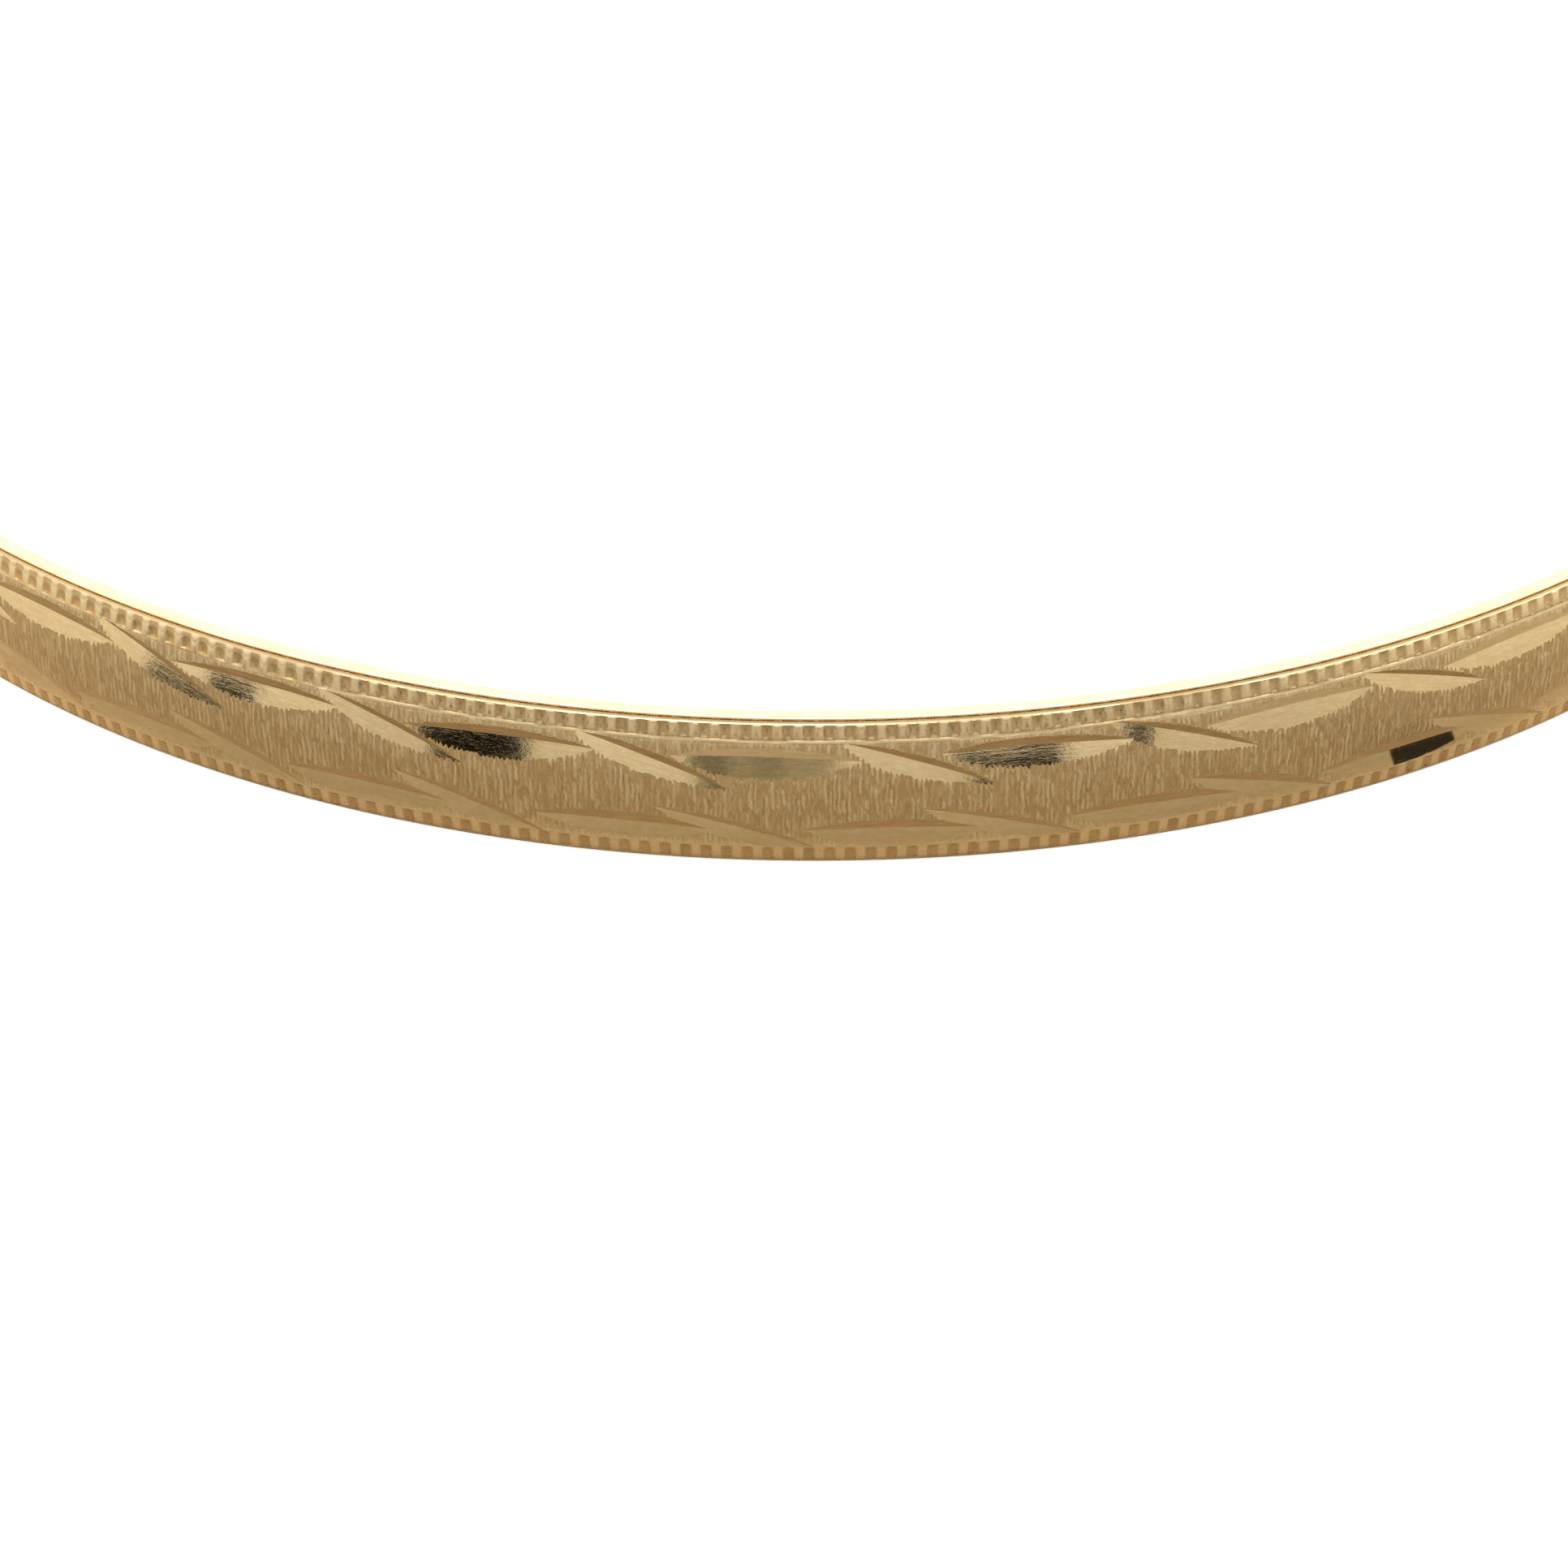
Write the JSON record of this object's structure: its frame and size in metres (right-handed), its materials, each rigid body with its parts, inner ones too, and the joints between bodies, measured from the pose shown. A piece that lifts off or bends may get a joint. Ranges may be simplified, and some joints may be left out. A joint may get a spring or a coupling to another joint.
{
  "type": "hinged bangle bracelet",
  "caption": "Round gold-coloured bangle with a satin face, bright-cut leaves and beaded edges, hinged on one side with a tongue clasp and a safety catch on the other.",
  "frame": {"origin": "the ring's centre, on the surface that the bangle lies on", "axes": "+Z is the ring's axis, upwards; +X points to the hinge and -X to the clasp; the front half is on -Y and the back half on +Y"},
  "size_m": [0.0654, 0.0638, 0.0052],
  "materials": {
    "engraved_gold": "yellow gold, satin field with bright-cut leaves and beaded edges",
    "polished_gold": "yellow gold, polished",
    "spring_gold": "hard-rolled yellow gold, fine drawn finish",
    "gold_wire": "drawn yellow gold wire"
  },
  "bodies": {
    "front_half": {"front_outer_shell": "engraved_gold", "front_liner": "polished_gold", "front_hinge_end_plate": "polished_gold", "clasp_mouth_plate": "polished_gold", "lower_hinge_knuckle": "polished_gold", "upper_hinge_knuckle": "polished_gold", "hinge_pin": "polished_gold", "catch_post_seat": "polished_gold", "catch_post": "polished_gold"},
    "back_half": {"back_outer_shell": "engraved_gold", "back_liner": "polished_gold", "back_hinge_end_plate": "polished_gold", "tongue_end_plate": "polished_gold", "centre_hinge_knuckle": "polished_gold", "tongue_blade": "spring_gold", "catch_pivot_seat": "polished_gold", "catch_pivot_tube": "polished_gold"},
    "tongue_spring": {"tongue_spring_leaf": "spring_gold", "thumb_tab": "spring_gold"},
    "safety_catch": {"safety_catch": "gold_wire"}
  },
  "joints": [
    {"name": "main_hinge", "type": "hinge", "parent": "front_half", "child": "back_half", "pos_m": [0.03195, 0, 0.00213], "axis": [0, 0, -1], "range_deg": [0, 65]},
    {"name": "tongue_press", "type": "hinge", "parent": "back_half", "child": "tongue_spring", "pos_m": [-0.0308, -0.00385, 0.00213], "axis": [0, 0, -1], "range_deg": [0, 4], "stiffness_Nm_per_rad": 0.02},
    {"name": "catch_flip", "type": "hinge", "parent": "back_half", "child": "safety_catch", "pos_m": [-0.031, 0.0019, 0.00471], "axis": [-1, 0, 0], "range_deg": [0, 110]}
  ]
}
